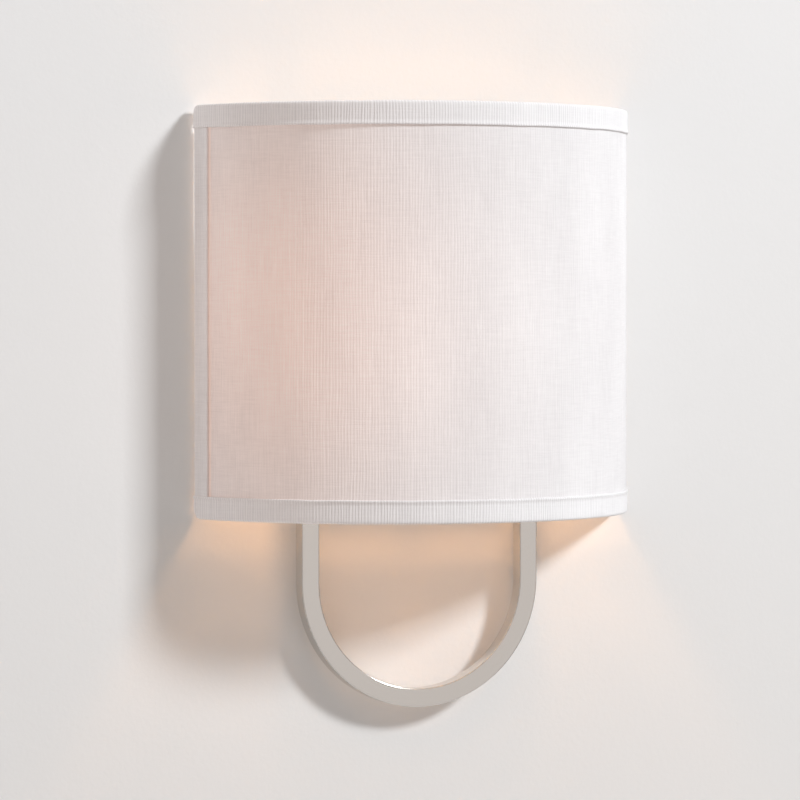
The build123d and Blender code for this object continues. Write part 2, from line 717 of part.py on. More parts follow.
# Leads. Black leads run lower and deeper than white ones, so that no two of them cross.
black_level = bushing_level - lead_pitch / 2
white_level = bushing_level + lead_pitch / 2
lead_start = floor_top - 2
lead_end = wire_nut_level + 8
black_nut_x = wire_nut_spread / 2
white_nut_x = -wire_nut_spread / 2
nut_lead_share = 0.93          # leads lie a little closer in a wire nut than in the bushing
white_loop_z = nipple_bottom - lead_slack
black_loop_z = white_loop_z - black_lead_drop
turned_up_z = bushing_level + 8
gathered_z = wire_nut_level - 4


def lead(points, radii, name):
    path = FilletPolyline(*points, radius=radii)
    section = Plane(origin=path @ 0, z_dir=path % 0) * Circle(lead_radius)
    body = sweep(section, path=path)
    expected = math.pi * lead_radius**2 * path.length
    ratio = round(body.volume / expected, 4)
    print(name, round(path.length, 1), "mm long, radii", radii, "volume ratio", ratio)
    save(name, body)


for side_name, side in sides.items():
    inner_x = side * (lamp_spacing - lead_pitch) / 2
    outer_x = side * (lamp_spacing + lead_pitch) / 2
    exit_x = side * lead_pitch / 2
    white_end_x = white_nut_x + exit_x * nut_lead_share
    black_end_x = black_nut_x + exit_x * nut_lead_share
    lead([(inner_x, lamp_y, lead_start), (inner_x, lamp_y, white_loop_z),
          (side * 10, lamp_y + 22, white_level - 0.6), (exit_x, lamp_y + 30, white_level),
          (exit_x, white_layer, white_level), (exit_x, white_layer, turned_up_z),
          (white_end_x, white_layer, gathered_z), (white_end_x, white_layer, lead_end)],
         [4, 9, 8, 4, 6, 6], "lead_" + side_name + "_white")
    lead([(outer_x, lamp_y, lead_start), (outer_x, lamp_y, black_loop_z),
          (side * 12, lamp_y + 22, black_level - 1.4), (exit_x, lamp_y + 31, black_level),
          (exit_x, black_layer, black_level), (exit_x, black_layer, turned_up_z),
          (black_end_x, black_layer, gathered_z), (black_end_x, black_layer, lead_end)],
         [4.5, 9, 8, 4.5, 6, 6], "lead_" + side_name + "_black")

ground_strap_y = -strap_thickness - lead_radius
ground_plate_y = plate_front + plate_wall + lead_radius
beside_strap_screw = ground_screw_offset + stud_radius + lead_radius
beside_plate_screw = plate_ground_x - stud_radius - lead_radius
lead([(beside_strap_screw, ground_strap_y, 3), (beside_strap_screw, ground_strap_y, -12),
      ((beside_strap_screw + beside_plate_screw) / 2, ground_plate_y, -22),
      (beside_plate_screw, ground_plate_y, plate_ground_z - 3)], [8, 8], "ground_lead")


def wire_nut(x, layer):
    high = wire_nut_level + wire_nut_length
    cone = polygon([(0, wire_nut_level), (wire_nut_radius, wire_nut_level),
                    (wire_nut_tip_radius, high), (0, high)])
    bore = rod((x, layer, wire_nut_level - 1), (x, layer, wire_nut_level + wire_nut_bore_depth),
               wire_nut_bore_radius)
    return Pos(x, layer, 0) * revolve(make_face(cone), Axis.Z) - bore


save("wire_nuts", group([wire_nut(black_nut_x, black_layer), wire_nut(white_nut_x, white_layer)]))

print("shade radius", round(shade_radius, 2), "half angle", round(edge_angle, 2))
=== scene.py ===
# A wall light with a half-drum linen shade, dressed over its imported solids.
# Metres, in the solids' own frame: the wall is y = 0, the front faces -Y and +Z is up.
import math

import bmesh
import bpy
from mathutils import Matrix, Vector
from mathutils.geometry import interpolate_bezier


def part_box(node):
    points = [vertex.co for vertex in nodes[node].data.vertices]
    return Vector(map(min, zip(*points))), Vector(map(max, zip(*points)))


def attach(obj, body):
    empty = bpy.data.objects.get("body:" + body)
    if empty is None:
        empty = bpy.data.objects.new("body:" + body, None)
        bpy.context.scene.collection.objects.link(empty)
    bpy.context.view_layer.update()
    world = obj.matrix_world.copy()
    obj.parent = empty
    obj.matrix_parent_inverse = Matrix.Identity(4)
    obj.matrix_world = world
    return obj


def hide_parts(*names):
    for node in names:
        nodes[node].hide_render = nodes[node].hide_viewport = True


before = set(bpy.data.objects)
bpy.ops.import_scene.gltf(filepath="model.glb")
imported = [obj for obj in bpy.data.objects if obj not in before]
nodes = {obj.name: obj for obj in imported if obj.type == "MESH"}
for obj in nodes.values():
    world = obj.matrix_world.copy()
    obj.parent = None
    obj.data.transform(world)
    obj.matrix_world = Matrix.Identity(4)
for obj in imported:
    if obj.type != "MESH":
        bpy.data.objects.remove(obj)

mm = 0.001
fullTurn = 2 * math.pi
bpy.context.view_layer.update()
print("frame loaded:", len(nodes), "nodes")


class Signal:
    # one output socket; arithmetic on it adds Math nodes, in shader and geometry trees alike
    def __init__(self, graph, socket):
        self.graph = graph
        self.socket = socket

    def op(self, operation, *values):
        return self.graph.maths(operation, self, *values)

    def __add__(self, other):
        return self.op("ADD", other)

    def __sub__(self, other):
        return self.op("SUBTRACT", other)

    def __mul__(self, other):
        return self.op("MULTIPLY", other)

    def __truediv__(self, other):
        return self.op("DIVIDE", other)

    def __rsub__(self, other):
        return self.graph.maths("SUBTRACT", other, self)

    def __rtruediv__(self, other):
        return self.graph.maths("DIVIDE", other, self)

    __radd__ = __add__
    __rmul__ = __mul__


class Graph:
    # adds nodes to a shader tree or a geometry tree
    def __init__(self, tree):
        self.tree = tree

    def connect(self, socket, value):
        if isinstance(value, Signal):
            self.tree.links.new(value.socket, socket)
        else:
            socket.default_value = value

    def add(self, kind, settings=None, inputs=None, output=0):
        # settings go first, because some of them change the node's sockets
        node = self.tree.nodes.new(kind)
        for name, value in (settings or {}).items():
            if name == "stops":
                self.setStops(node.color_ramp, value)
            else:
                setattr(node, name, value)
        for key, value in (inputs or {}).items():
            self.connect(node.inputs[key], value)
        return Signal(self, node.outputs[output])

    def setStops(self, ramp, stops):
        while len(ramp.elements) < len(stops):
            ramp.elements.new(0.5)
        for element, (place, colour) in zip(ramp.elements, stops):
            element.position = place
            element.color = (*colour, 1)

    def maths(self, operation, *values):
        return self.add("ShaderNodeMath", {"operation": operation}, dict(enumerate(values)))

    def split(self, vector):
        parts = self.add("ShaderNodeSeparateXYZ", inputs={0: vector})
        return tuple(Signal(self, socket) for socket in parts.socket.node.outputs)

    def vector(self, x, y, z):
        return self.add("ShaderNodeCombineXYZ", inputs={0: x, 1: y, 2: z})

    def scaled(self, vector, factors):
        return self.add("ShaderNodeVectorMath", {"operation": "MULTIPLY"}, {0: vector, 1: factors})

    def noise(self, place, scale, detail, roughness):
        return self.add("ShaderNodeTexNoise", {"noise_dimensions": "3D"},
                        {"Vector": place, "Scale": scale, "Detail": detail, "Roughness": roughness})

    def streaks(self, along, level, grain, seed=0.0):
        # noise drawn out on the cloth; grain is its scale along, scale up, seed, detail and roughness
        alongScale, upScale, ownSeed, detail, roughness = grain
        place = self.vector(along * alongScale, level * upScale, seed + ownSeed)
        return self.noise(place, 1.0, detail, roughness)

    def blend(self, share, first, second):
        # a colour between two colours
        return self.add("ShaderNodeMix", {"data_type": "RGBA"}, {0: share, 6: first, 7: second}, output=2)

    def ramp(self, share, stops):
        return self.add("ShaderNodeValToRGB", {"stops": stops}, {0: share})

    def remap(self, value, fromLow, fromHigh, toLow=0.0, toHigh=1.0):
        return self.add("ShaderNodeMapRange",
                        inputs={0: value, 1: fromLow, 2: fromHigh, 3: toLow, 4: toHigh})

    def spread(self, noise, low=0.0, high=1.0, reach=0.2):
        # noise stays near 0.5; its usual reach on both sides is stretched from low to high
        return self.remap(noise, 0.5 - reach, 0.5 + reach, low, high)

    def bell(self, value, middle, width):
        # 1 at the middle, falling off smoothly on both sides
        away = (value - middle) / width
        return (away * away * -1.0).op("EXPONENT")

    def bump(self, height, distance):
        return self.add("ShaderNodeBump", inputs={"Height": height, "Distance": distance, "Strength": 1.0})


class Finish(Graph):
    # a material whose patterns follow the place on the piece
    def __init__(self, name):
        self.material = bpy.data.materials.new(name)
        self.material.use_nodes = True
        super().__init__(self.material.node_tree)
        self.shader = self.tree.nodes["Principled BSDF"]
        self.point = self.add("ShaderNodeTexCoord", output="Object")

    def feed(self, **sockets):
        # values and links for the shader's sockets, with spaces written as underscores
        for name, value in sockets.items():
            self.connect(self.shader.inputs[name.replace("_", " ")], value)
        if "Emission_Strength" in sockets:
            # the painted glow on cloth and lining, and the bulbs' own glow, are for the eye; the lamps and
            # the studio light the scene
            self.material.cycles.emission_sampling = "NONE"


class ShapeTree(Graph):
    # a geometry tree with named inputs, which ends in Realize Instances and Set Material
    def __init__(self, name, numbers, counts=()):
        group = bpy.data.node_groups.new(name, "GeometryNodeTree")
        super().__init__(group)
        sockets = [("Source", "Geometry")]
        sockets += [(label, "Float") for label in numbers]
        sockets += [(label, "Int") for label in counts]
        sockets += [("Finish", "Material")]
        for label, kind in sockets:
            group.interface.new_socket(label, in_out="INPUT", socket_type="NodeSocket" + kind)
        group.interface.new_socket("Shape", in_out="OUTPUT", socket_type="NodeSocketGeometry")
        self.given = group.nodes.new("NodeGroupInput")

    def __getitem__(self, label):
        return Signal(self, self.given.outputs[label])

    def grid(self, across, up):
        # a flat sheet, 1 wide and 1 high about its middle
        return self.add("GeometryNodeMeshGrid",
                        inputs={"Size X": 1.0, "Size Y": 1.0, "Vertices X": across, "Vertices Y": up})

    def moved(self, shape, **place):
        return self.add("GeometryNodeSetPosition", inputs={"Geometry": shape, **place})

    def ring(self, radius, sides):
        return self.add("GeometryNodeCurvePrimitiveCircle", {"mode": "RADIUS"},
                        {"Resolution": sides, "Radius": radius})

    def sweep(self, path, section):
        return self.add("GeometryNodeCurveToMesh", inputs={"Curve": path, "Profile Curve": section,
                                                           "Fill Caps": True})

    def close(self, shape):
        whole = self.add("GeometryNodeRealizeInstances", inputs={0: shape})
        painted = self.add("GeometryNodeSetMaterial", inputs={"Geometry": whole, "Material": self["Finish"]})
        end = self.tree.nodes.new("NodeGroupOutput")
        self.connect(end.inputs["Shape"], painted)

    def grow(self, name, source, finish, **values):
        # runs the tree on a source mesh and gives back a plain mesh; spaces are written as underscores
        holder = bpy.data.objects.new(name, source)
        bpy.context.scene.collection.objects.link(holder)
        modifier = holder.modifiers.new("shape", "NODES")
        modifier.node_group = self.tree
        wanted = {label.replace("_", " "): value for label, value in values.items()}
        wanted["Finish"] = finish
        for item in self.tree.interface.items_tree:
            if item.in_out == "INPUT" and item.name in wanted:
                modifier[item.identifier] = wanted[item.name]
        seen = holder.evaluated_get(bpy.context.evaluated_depsgraph_get())
        made = bpy.data.meshes.new_from_object(seen)
        holder.modifiers.remove(modifier)
        bpy.data.objects.remove(holder)
        made.name = name
        return made


def lineMesh(points):
    # a source mesh of one run of edges
    mesh = bpy.data.meshes.new("line")
    mesh.from_pydata([tuple(point) for point in points], [(k, k + 1) for k in range(len(points) - 1)], [])
    return mesh


def smoothShade(mesh, sharpAbove=None):
    mesh.polygons.foreach_set("use_smooth", [True] * len(mesh.polygons))
    if sharpAbove:
        mesh.set_sharp_from_angle(angle=math.radians(sharpAbove))


def outward(mesh):
    # merges doubles, drops edges left without a face and turns every face outwards
    work = bmesh.new()
    work.from_mesh(mesh)
    bmesh.ops.remove_doubles(work, verts=work.verts, dist=1e-6)
    bmesh.ops.delete(work, geom=[edge for edge in work.edges if not edge.link_faces], context="EDGES")
    bmesh.ops.recalc_face_normals(work, faces=work.faces)
    work.to_mesh(mesh)
    work.free()


def sewnMesh(name, work):
    # a cloth strip's mesh, cleaned, and smooth between its fold edges
    mesh = bpy.data.meshes.new(name)
    work.to_mesh(mesh)
    work.free()
    outward(mesh)
    smoothShade(mesh, 60)
    return mesh


def newPiece(name, mesh, finish, body, replacedNode):
    piece = bpy.data.objects.new(name, mesh)
    bpy.context.scene.collection.objects.link(piece)
    mesh.materials.clear()
    mesh.materials.append(finish)
    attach(piece, body)
    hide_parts(replacedNode)
    return piece


def drumOf(node):
    # radius, axis and half angle of a wall that follows the shade's curve, read from its solid
    points = [vertex.co for vertex in nodes[node].data.vertices]
    front = min(point.y for point in points)
    side = max(points, key=lambda point: point.x)
    depth = side.y - front
    radius = (side.x ** 2 + depth ** 2) / (2 * depth)
    axis = front + radius
    return radius, axis, math.atan2(side.x, axis - side.y)


coverRadius, axisY, coverAngle = drumOf("linen_cover")
bandRadius, _, bandAngle = drumOf("top_band")
clothThickness = bandRadius - coverRadius
coverLow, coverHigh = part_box("linen_cover")
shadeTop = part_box("top_band")[1].z
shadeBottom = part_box("bottom_band")[0].z
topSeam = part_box("top_band")[0].z
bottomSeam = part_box("bottom_band")[1].z
print("shade radius", round(coverRadius / mm, 2), "mm, half angle", round(math.degrees(coverAngle), 1))


def onShade(radius, angle, level):
    return Vector((radius * math.sin(angle), axisY - radius * math.cos(angle), level))


# The two lamps, at the filaments. Their light leaves by the open bottom and top.
lamps = {
    "colour": (1.0, 0.50, 0.20),
    "down": 0.54,          # watts each
    "up": 0.11,
    "size": 14 * mm,
    "spread": 104,         # degrees, the whole cone
    "fade": 0.25,
}
lampPlaces = {}
for sideName in ("left", "right"):
    low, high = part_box(f"bulb_{sideName}_filament")
    lampPlaces[sideName] = (low + high) / 2
for place in lampPlaces.values():
    for way, turn in (("down", 0.0), ("up", math.pi)):
        lamp = bpy.data.lights.new("filament light", "SPOT")
        lamp.color = lamps["colour"]
        lamp.energy = lamps[way]
        lamp.shadow_soft_size = lamps["size"]
        lamp.spot_size = math.radians(lamps["spread"])
        lamp.spot_blend = lamps["fade"]
        holder = bpy.data.objects.new("filament light", lamp)
        holder.location = place
        holder.rotation_euler = (turn, 0, 0)
        holder.visible_camera = False
        bpy.context.scene.collection.objects.link(holder)


linen = {
    "ribPitch": 1.62 * mm,
    "ribHeight": 0.05 * mm,
    "slubHeight": 0.06 * mm,
    "columnsPerRib": 5,
    "rows": 38,
    "seed": 4,
    "innerGap": 0.15 * mm,       # between the cover's inside and the lining
    "colour": (0.88, 0.872, 0.876, 1),
    "hollow": (0.735, 0.72, 0.726, 1),
    "bump": 0.15 * mm,
    "threadPitch": 0.62 * mm,    # the cross threads
    "threadStray": 0.15,
    # streaks on the cloth: scale along, scale up, seed, detail, roughness
    "slowStray": (45.0, 9.0, 0.0, 1.0, 0.5),
    "quickStray": (260.0, 42.0, 5.0, 1.0, 0.5),
    "slub": (480.0, 26.0, 2.0, 2.0, 0.6),
    "thick": (900.0, 60.0, 3.1, 3.0, 0.65),
    "weft": (90.0, 1500.0, 7.7, 2.0, 0.6),
    "cloud": (26.0, 8.0, 1.3, 2.0, 0.5),
    "slowReach": 2.4 * mm,       # how far a rib strays with each
    "quickReach": 1.5 * mm,
    # the painted glow: emission on the cloth in place of the lamps' light shining through it
    "glowColour": (1.0, 0.40, 0.17),
    "glowAngle": -48,            # degrees from the front, where the painted glow is brightest
    "glowWidth": 46,
    "glowRise": 125 * mm,
    "farGlow": 0.08,             # the other side's share
    "farWidth": 36.8,
    "leakWidth": 0.7 * mm,       # a painted light line beside the trims' raw edges
    "leakGlow": 0.75,
}


def strayOf(graph, along, level, seed=0.0):
    # how far a rib strays sideways; the woven geometry and the finish use the same rule
    slow = graph.streaks(along, level, linen["slowStray"], seed) - 0.5
    quick = graph.streaks(along, level, linen["quickStray"], seed) - 0.5
    return slow * linen["slowReach"] + quick * linen["quickReach"]


def ribOf(graph, along, level, pitch, seed):
    # 1 on a rib and 0 between two
    phase = (along + strayOf(graph, along, level, seed)) * fullTurn / pitch
    return phase.op("SINE") * 0.5 + 0.5


def wovenWall():
    # a cloth wall on the drum's curve, with slubby ribs that stand up from it
    tree = ShapeTree("woven wall", ("Radius", "Axis", "Half Angle", "Low", "High", "Rib Pitch", "Rib Height",
                                    "Slub Height"), ("Columns", "Rows", "Seed"))
    across, up, _ = tree.split(tree.add("GeometryNodeInputPosition"))
    angle = across * 2.0 * tree["Half Angle"]
    along = angle * tree["Radius"]
    level = tree["Low"] + (up + 0.5) * (tree["High"] - tree["Low"])
    rib = ribOf(tree, along, level, tree["Rib Pitch"], tree["Seed"])
    slub = tree.streaks(along, level, linen["slub"], tree["Seed"])
    height = rib * slub * 2.0 * tree["Rib Height"] + slub * tree["Slub Height"]
    # the tallest ribs end at the outer radius
    radius = tree["Radius"] - tree["Rib Height"] * 1.4 - tree["Slub Height"] * 0.8 + height
    place = tree.vector(radius * angle.op("SINE"), tree["Axis"] - radius * angle.op("COSINE"), level)
    bent = tree.moved(tree.grid(tree["Columns"], tree["Rows"]), Position=place)
    tree.close(tree.add("GeometryNodeSetShadeSmooth", inputs={"Geometry": bent}))
    return tree


def linenFinish(name, glowStrength, ribShare, seam=False):
    # slubby linen: upright ribs, fine cross threads, and a painted glow that stands in for the lamps' light
    # coming through
    cloth = Finish(name)
    x, y, z = cloth.split(cloth.point)
    angle = x.op("ARCTAN2", axisY - y)
    along = angle * coverRadius
    seed = float(linen["seed"])
    rib = ribOf(cloth, along, z, linen["ribPitch"], seed)
    slub = cloth.streaks(along, z, linen["slub"], seed)
    thick = cloth.streaks(along, z, linen["thick"])
    weft = cloth.streaks(along, z, linen["weft"])
    cloud = cloth.streaks(along, z, linen["cloud"])
    threadLevel = z + strayOf(cloth, z, along) * linen["threadStray"]
    threads = (threadLevel * (fullTurn / linen["threadPitch"])).op("SINE") * 0.5 + 0.5
    height = rib * ribShare * slub + thick * 0.5 + weft * 0.4 + threads * 0.12
    # painted shade between the ribs, mixed with random tone from thick yarns, weft and clouds
    ribShadeAndTone = rib * slub * (0.5 * ribShare) + thick * 0.4 + weft * 0.3 + cloud * 0.5
    tone = cloth.remap(ribShadeAndTone, 0.40, 0.85)
    # painted glow, strongest left of the front, with a faint copy on the right, fading up and down
    near = cloth.bell(angle, math.radians(linen["glowAngle"]), math.radians(linen["glowWidth"]))
    far = cloth.bell(angle, math.radians(-linen["glowAngle"]), math.radians(linen["farWidth"]))
    paintedGlow = (near + far * linen["farGlow"]) * cloth.bell(z, 0.0, linen["glowRise"])
    paintedGlow = paintedGlow * (tone * 0.25 + 0.87)
    if seam:
        # a painted light line where the cover ends under the trims' raw edges, in place of light leaking
        # there
        ends = (angle.op("ABSOLUTE") - seamAngle) * coverRadius
        paintedLeak = cloth.bell(ends, 0.0, linen["leakWidth"]) * cloth.spread(thick, 0.5, 1.2, 0.15)
        paintedGlow = paintedGlow + paintedLeak * linen["leakGlow"]
    cloth.feed(Base_Color=cloth.blend(tone, linen["hollow"], linen["colour"]), Roughness=0.92,
               Specular_IOR_Level=0.2, Sheen_Weight=0.05, Sheen_Roughness=0.5,
               Emission_Color=cloth.blend(paintedGlow, (0, 0, 0, 1), (*linen["glowColour"], 1)),
               Emission_Strength=glowStrength, Normal=cloth.bump(height, linen["bump"]))
    return cloth.material


trimCut = {
    "width": 12.7 * mm,
    "turn": 8.0 * mm,            # how far the inner wall reaches back from the edge
    "rounding": 1.6 * mm,
    "rows": 100,
    "stray": 0.15 * mm,          # how far the raw edge wanders
    "seamGap": 0.9 * mm,         # from that edge to the painted light line beside it
}
seamAngle = bandAngle - (trimCut["width"] + trimCut["seamGap"]) / coverRadius
coverLinen = linenFinish("linen cover", 0.24, 0.30, seam=True)
bandLinen = linenFinish("linen band", 0.09, 1.3)
trimLinen = linenFinish("linen trim", 0.09, 0.2)

coverArc = 2 * coverAngle * coverRadius
ribCount = round(coverArc / linen["ribPitch"])
coverMesh = wovenWall().grow(
    "linen cover", bpy.data.meshes.new("start"), coverLinen, Radius=coverRadius, Axis=axisY,
    Half_Angle=coverAngle, Low=coverLow.z, High=coverHigh.z, Rib_Pitch=linen["ribPitch"],
    Rib_Height=linen["ribHeight"], Slub_Height=linen["slubHeight"],
    Columns=ribCount * linen["columnsPerRib"] + 1, Rows=linen["rows"], Seed=linen["seed"])
cover = newPiece("linenCover", coverMesh, coverLinen, "shade", "linen_cover")
thicken = cover.modifiers.new("cloth thickness", "SOLIDIFY")
thicken.thickness = clothThickness - linen["innerGap"]
thicken.offset = -1
print("linen cover woven:", ribCount, "ribs")

folds = {
    "hem": 1.6 * mm,             # the strip's raw edge turned under
    "hemSwell": 0.35 * mm,
    "rounding": 1.6 * mm,
    "stations": 260,
    "endCrowding": 0.35,         # how much closer the stations stand at both ends
    "channel": 4.0 * mm,         # between the strip's two walls, round liner and wire
    "turn": 5.5 * mm,            # how far the inner wall reaches down
    "topCorner": 3.6 * mm,
    "bottomCorner": 5.4 * mm,
    "cornerReach": 0.75,         # the share of the strip's height that follows a corner's rounding
    "slack": 0.12 * mm,
}


def arcPoints(centre, radius, start, end, count):
    points = []
    for k in range(count + 1):
        turn = math.radians(start + (end - start) * k / count)
        points.append((centre[0] + radius * math.cos(turn), centre[1] + radius * math.sin(turn)))
    return points


def bandSection(height, wireRadius):
    # outlines of a strip folded over the shade's edge: (outset from the cover, level above the edge)
    t = clothThickness
    r = folds["rounding"]
    hem, swell, turn = folds["hem"], folds["hemSwell"], folds["turn"]
    back = -folds["channel"] - t
    wire = (back + t + wireRadius, -t - wireRadius)
    outer = [(t * 0.55, -height), (t + swell * 0.5, -height + 0.12 * mm), (t + swell, -height + 0.4 * mm),
             (t + swell, -height + hem - 0.4 * mm), (t, -height + hem)]
    outer += [(t, -height * share) for share in (0.75, 0.6, 0.35)]
    outer += arcPoints((t - r, -r), r, 0, 90, 6)
    outer += arcPoints(wire, wireRadius + t, 90, 180, 8)
    outer += [(back, -turn * 0.7), (back, -turn + 0.2 * mm), (back + 0.2 * mm, -turn)]
    inner = [(back + t, -turn), (back + t, -turn * 0.7)]
    inner += arcPoints(wire, wireRadius, 180, 90, 8)
    inner += arcPoints((t - r, -r), r - t, 90, 0, 6)
    inner += [(0, -height * 0.35), (0, -height * 0.6), (0, -height + hem), (0, -height + 0.1 * mm)]
    return outer, inner


def foldedBand(name, edge, upward, height, cornerRadius, wireRadius):
    # upward is 1 for the top band, whose fold is at its top, and -1 for the bottom one
    outer, inner = bandSection(height, wireRadius)
    work = bmesh.new()

    def ring(angle, outline):
        past = max(0.0, (abs(angle) - bandAngle) * bandRadius + cornerRadius)
        drop = cornerRadius - math.sqrt(max(0.0, cornerRadius ** 2 - past ** 2))
        slack = folds["slack"] * math.sin(angle * 23 + upward) * math.sin(angle * 7.3)
        made = []
        for outset, level in outline:
            share = max(0.0, 1 + level / (height * folds["cornerReach"]))
            lifted = level - drop * share + slack * (1 - share)
            made.append(work.verts.new(onShade(coverRadius + outset, angle, edge + upward * lifted)))
        return made

    count = folds["stations"]
    crowding = folds["endCrowding"]
    angles = []
    for k in range(count + 1):
        across = 2 * k / count - 1
        angles.append(coverAngle * (math.sin(math.pi / 2 * across) * crowding + across * (1 - crowding)))
    outerRings = [ring(angle, outer) for angle in angles]
    innerRings = [ring(angle, inner) for angle in angles]
    ends = [ring(-bandAngle, outer), ring(bandAngle, outer)]
    for skin in ([ends[0]] + outerRings + [ends[1]], innerRings):
        for first, second in zip(skin, skin[1:]):
            for k in range(len(first) - 1):
                work.faces.new((first[k], second[k], second[k + 1], first[k + 1]))
    for k in range(count):
        a, b = outerRings[k], outerRings[k + 1]
        c, d = innerRings[k], innerRings[k + 1]
        work.faces.new((c[-1], a[0], b[0], d[-1]))
        work.faces.new((a[-1], c[0], d[0], b[-1]))
    for end, outerRing, innerRing in ((ends[0], outerRings[0], innerRings[0]),
                                      (ends[1], outerRings[-1], innerRings[-1])):
        work.faces.new(end)
        work.faces.new(innerRing)
        work.faces.new((outerRing[0], end[0], innerRing[-1]))
        work.faces.new((innerRing[-1], end[0], end[-1], innerRing[0]))
        work.faces.new((innerRing[0], end[-1], outerRing[-1]))
    return sewnMesh(name, work)


wireLow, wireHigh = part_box("frame_upright_left")
wireRadius = (wireHigh.x - wireLow.x) / 2
for name, node, edge, upward, height, corner in (
        ("topBand", "top_band", shadeTop, 1, shadeTop - topSeam, folds["topCorner"]),
        ("bottomBand", "bottom_band", shadeBottom, -1, bottomSeam - shadeBottom, folds["bottomCorner"])):
    mesh = foldedBand(name, edge, upward, height, corner, wireRadius)
    newPiece(name, mesh, bandLinen, "shade", node)


def foldedTrim(name, side):
    # a strip folded round the shade's back edge; its section is (outset, arc from the edge)
    t = clothThickness
    back = -folds["channel"] - t
    hem, swell = folds["hem"], folds["hemSwell"]
    width, turn, r = trimCut["width"], trimCut["turn"], trimCut["rounding"]
    outer = [(t * 0.5, -width), (t + swell * 0.6, -width + 0.2 * mm), (t + swell * 0.6, -width + hem),
             (t, -width + hem + 0.5 * mm), (t, -width * 0.4)]
    outer += arcPoints((t - r, -r), r, 0, 90, 6)
    outer += arcPoints((back + r, -r), r, 90, 180, 6)
    outer += [(back, -turn * 0.5), (back, -turn)]
    inner = [(back + t, -turn), (back + t, -turn * 0.5)]
    inner += arcPoints((back + r, -r), r - t, 180, 90, 4)
    inner += arcPoints((t - r, -r), r - t, 90, 0, 4)
    inner += [(0, -width * 0.4), (0, -width + hem), (0, -width + 0.1 * mm)]
    outline = outer + inner
    work = bmesh.new()
    rings = []
    for j in range(trimCut["rows"] + 1):
        level = bottomSeam + (topSeam - bottomSeam) * j / trimCut["rows"]
        stray = trimCut["stray"] * math.sin(level * 110 + side) * math.sin(level * 41)
        ring = []
        for outset, arc in outline:
            strayed = arc + stray if arc < -width * 0.8 else arc
            angle = side * (bandAngle + strayed / bandRadius)
            ring.append(work.verts.new(onShade(coverRadius + outset, angle, level)))
        rings.append(ring)
    for first, second in zip(rings, rings[1:]):
        for k in range(len(outline)):
            n = (k + 1) % len(outline)
            work.faces.new((first[k], first[n], second[n], second[k]))
    work.faces.new(rings[0])
    work.faces.new(rings[-1])
    return sewnMesh(name, work)


for label, side in (("Left", -1), ("Right", 1)):
    mesh = foldedTrim("sideTrim" + label, side)
    newPiece("sideTrim" + label, mesh, trimLinen, "shade",
                          "side_trim_" + label.lower())

# The bands' flat length along the arc.
bandArc = 2 * bandAngle * bandRadius
print("bands and trims folded")


def metal(name, colour, roughness, grain=(1.0, 1.0, 1.0), smudge=0.06, fineness=900.0):
    # metal with a drawn grain along the axis whose factor is small, and faint smudges
    finish = Finish(name)
    drawn = finish.noise(finish.scaled(finish.point, grain), fineness, 4.0, 0.7)
    cloud = finish.noise(finish.point, 38.0, 5.0, 0.6)
    spots = finish.noise(finish.point, 260.0, 3.0, 0.6)
    dull = tuple(c * 0.98 for c in colour)
    tone = finish.spread(drawn * 0.6 + cloud * 0.4)
    smooth, rough = roughness * (1 - smudge), roughness * (1 + smudge)
    smudged = finish.spread(cloud * 0.6 + spots * 0.4, smooth, rough, 0.15)
    finish.feed(Base_Color=finish.blend(tone, (*dull, 1), (*colour, 1)), Metallic=1.0,
                Roughness=smudged + (drawn - 0.5) * 0.03, Normal=finish.bump(drawn, 0.0003 * mm))
    return finish.material


def moulded(name, colour, roughness, coat=0.0, grainSize=1500.0, grainHeight=0.006 * mm):
    # moulded plastic or enamel: fine orange peel, faint flow clouds and a few specks
    finish = Finish(name)
    cloud = finish.noise(finish.point, 60.0, 5.0, 0.6)
    peel = finish.noise(finish.point, grainSize, 3.0, 0.6)
    specks = finish.add("ShaderNodeTexVoronoi", {"feature": "F1"}, {"Vector": finish.point, "Scale": 900.0})
    speck = finish.remap(specks, 0.0, 0.12, 1.0, 0.0)
    pale = tuple(min(1.0, c * 1.12 + 0.008) for c in colour)
    dark = tuple(c * 0.82 for c in colour)
    tone = finish.blend(finish.spread(cloud), (*colour, 1), (*pale, 1))
    finish.feed(Base_Color=finish.blend(speck * 0.4, tone, (*dark, 1)),
                Roughness=finish.spread(cloud, roughness * 0.88, roughness * 1.12), Coat_Weight=coat,
                Normal=finish.bump(peel, grainHeight))
    return finish.material


def liningFinish():
    # a translucent white sheet: cloudy, faintly fibrous, with a painted glow at the lamps' level in place of
    # lamp light shining through
    finish = Finish("shade lining")
    _, _, level = finish.split(finish.point)
    fibres = finish.noise(finish.scaled(finish.point, (1.0, 1.0, 0.25)), 420.0, 5.0, 0.7)
    cloud = finish.noise(finish.point, 30.0, 3.0, 0.5)
    tone = finish.spread(fibres * 0.5 + cloud * 0.5, reach=0.15)
    paintedGlow = finish.bell(level, 0.0, linen["glowRise"]) * (tone * 0.2 + 0.8)
    finish.feed(Base_Color=finish.blend(tone, (0.80, 0.785, 0.76, 1), (0.88, 0.87, 0.85, 1)),
                Roughness=finish.spread(fibres, 0.5, 0.62),
                Emission_Color=finish.blend(paintedGlow, (0.10, 0.05, 0.02, 1), (1.0, 0.58, 0.30, 1)),
                Emission_Strength=0.22, Normal=finish.bump(fibres, 0.02 * mm))
    return finish.material


